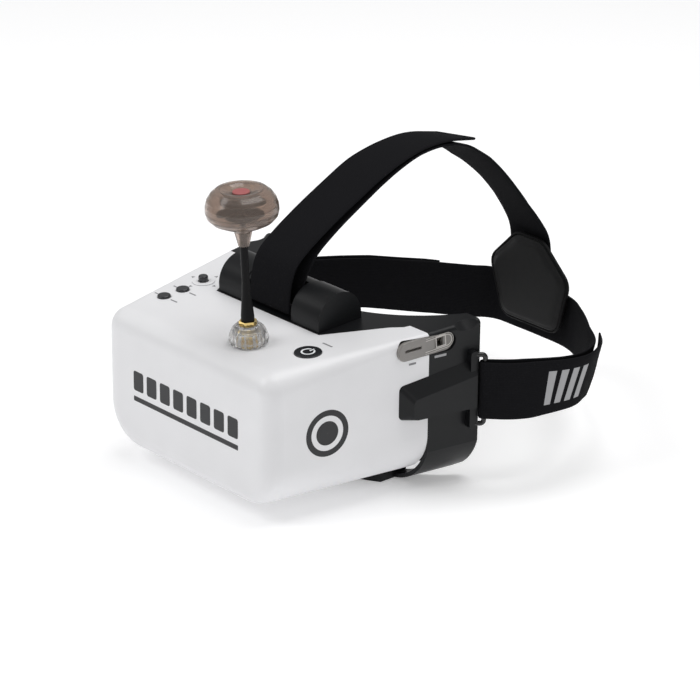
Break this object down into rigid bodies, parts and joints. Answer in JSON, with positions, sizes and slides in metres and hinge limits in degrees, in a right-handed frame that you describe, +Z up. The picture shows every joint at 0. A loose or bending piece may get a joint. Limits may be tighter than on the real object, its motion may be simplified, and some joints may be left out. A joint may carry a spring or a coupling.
{
  "type": "fpv goggles",
  "caption": "Box-shaped video goggles for drone flying with a curved face seal, top controls, a mast antenna and a three-way elastic head harness.",
  "frame": {"origin": "centre of the flat front face", "axes": "+Y from the front face towards the wearer's head, +Z up, +X across"},
  "size_m": [0.2365, 0.2887, 0.194],
  "materials": {
    "white_shell": "satin moulded",
    "black_shell": "satin moulded",
    "black_bar": "smooth",
    "inner_plastic": "fine spark texture",
    "foam": "brushed foam",
    "soft_rubber": "matte",
    "lens_acrylic": "clear",
    "display_glass": "polished",
    "circuit_board": "solder mask",
    "screw_steel": "blackened",
    "battery_wrap": "film",
    "button_gloss": "satin",
    "icon_white": "diffuse",
    "stick_metal": "plain",
    "smoked_window": "smoked",
    "socket_metal": "plated",
    "gold": "gold plated",
    "clear_collar": "clear",
    "mast_sleeve": "heat-shrunk sleeve",
    "smoked_radome": "smoked",
    "antenna_metal": "dark coated",
    "seal_red": "printed",
    "webbing": "knitted elastic",
    "pad_cover": "smooth synthetic"
  },
  "bodies": {
    "goggles": {"front_shell": "white_shell", "stick_bezel": "white_shell", "rear_housing": "black_shell", "right_arm": "black_shell", "left_arm": "black_shell", "mount_saddle": "black_shell", "right_mount_cap": "black_shell", "left_mount_cap": "black_shell", "right_strap_bar": "black_bar", "left_strap_bar": "black_bar", "strap_pin": "black_bar", "face_plate": "inner_plastic", "eye_shroud": "inner_plastic", "lens_frame": "inner_plastic", "light_box": "inner_plastic", "display_frame": "inner_plastic", "face_foam": "foam", "nose_shield": "soft_rubber", "eye_lens": "lens_acrylic", "display_panel": "display_glass", "main_board": "circuit_board", "switch_boards": "circuit_board", "patch_antenna": "circuit_board", "receiver_module": "circuit_board", "board_screws": "screw_steel", "shell_screws": "screw_steel", "battery_pack": "battery_wrap", "port_window": "smoked_window", "sd_socket": "socket_metal", "aux_socket": "socket_metal", "antenna_jack": "gold", "jack_nut": "gold", "right_band": "webbing", "left_band": "webbing", "top_band": "webbing", "rear_pad": "pad_cover"},
    "power_key": {"power_button": "button_gloss", "power_icon": "icon_white"},
    "front_key": {"front_key": "button_gloss"},
    "rear_key": {"rear_key": "button_gloss"},
    "stick_yoke": {"stick_yoke": "stick_metal"},
    "stick_stem": {"stick_stem": "stick_metal"},
    "stick_cap": {"stick_cap": "button_gloss"},
    "antenna": {"antenna_plug": "gold", "antenna_mast": "mast_sleeve", "radome_base": "smoked_radome", "radome_cap": "smoked_radome", "cap_seal": "seal_red", "antenna_core": "antenna_metal"},
    "coupling": {"coupling_nut": "gold", "grip_collar": "clear_collar"}
  },
  "joints": [
    {"name": "power_press", "type": "slide", "parent": "goggles", "child": "power_key", "axis": [0, 0.0599, -0.9982], "range_m": [0, 0.0006], "stiffness_N_per_m": 900, "springref_m": -0.0006},
    {"name": "front_key_press", "type": "slide", "parent": "goggles", "child": "front_key", "axis": [0, 0.0599, -0.9982], "range_m": [0, 0.0006], "stiffness_N_per_m": 700, "springref_m": -0.0006},
    {"name": "rear_key_press", "type": "slide", "parent": "goggles", "child": "rear_key", "axis": [0, 0.0599, -0.9982], "range_m": [0, 0.0006], "stiffness_N_per_m": 700, "springref_m": -0.0006},
    {"name": "stick_tilt_fore", "type": "hinge", "parent": "goggles", "child": "stick_yoke", "pos_m": [-0.0643, 0.06629, 0.04397], "axis": [1, 0, 0], "range_deg": [-9, 9], "stiffness_Nm_per_rad": 0.02},
    {"name": "stick_tilt_side", "type": "hinge", "parent": "stick_yoke", "child": "stick_stem", "pos_m": [-0.0643, 0.06629, 0.04397], "axis": [0, 0.9982, 0.0599], "range_deg": [-9, 9], "stiffness_Nm_per_rad": 0.02},
    {"name": "stick_press", "type": "slide", "parent": "stick_stem", "child": "stick_cap", "axis": [0, 0.0599, -0.9982], "range_m": [0, 0.0004], "stiffness_N_per_m": 600, "springref_m": -0.0005},
    {"name": "antenna_turn", "type": "hinge", "parent": "goggles", "child": "antenna", "pos_m": [0.0267, 0.0269, 0.04481], "axis": [0, -0.0599, 0.9982], "continuous": true},
    {"name": "coupling_turn", "type": "hinge", "parent": "antenna", "child": "coupling", "pos_m": [0.0267, 0.0269, 0.04481], "axis": [0, -0.0599, 0.9982], "continuous": true}
  ]
}
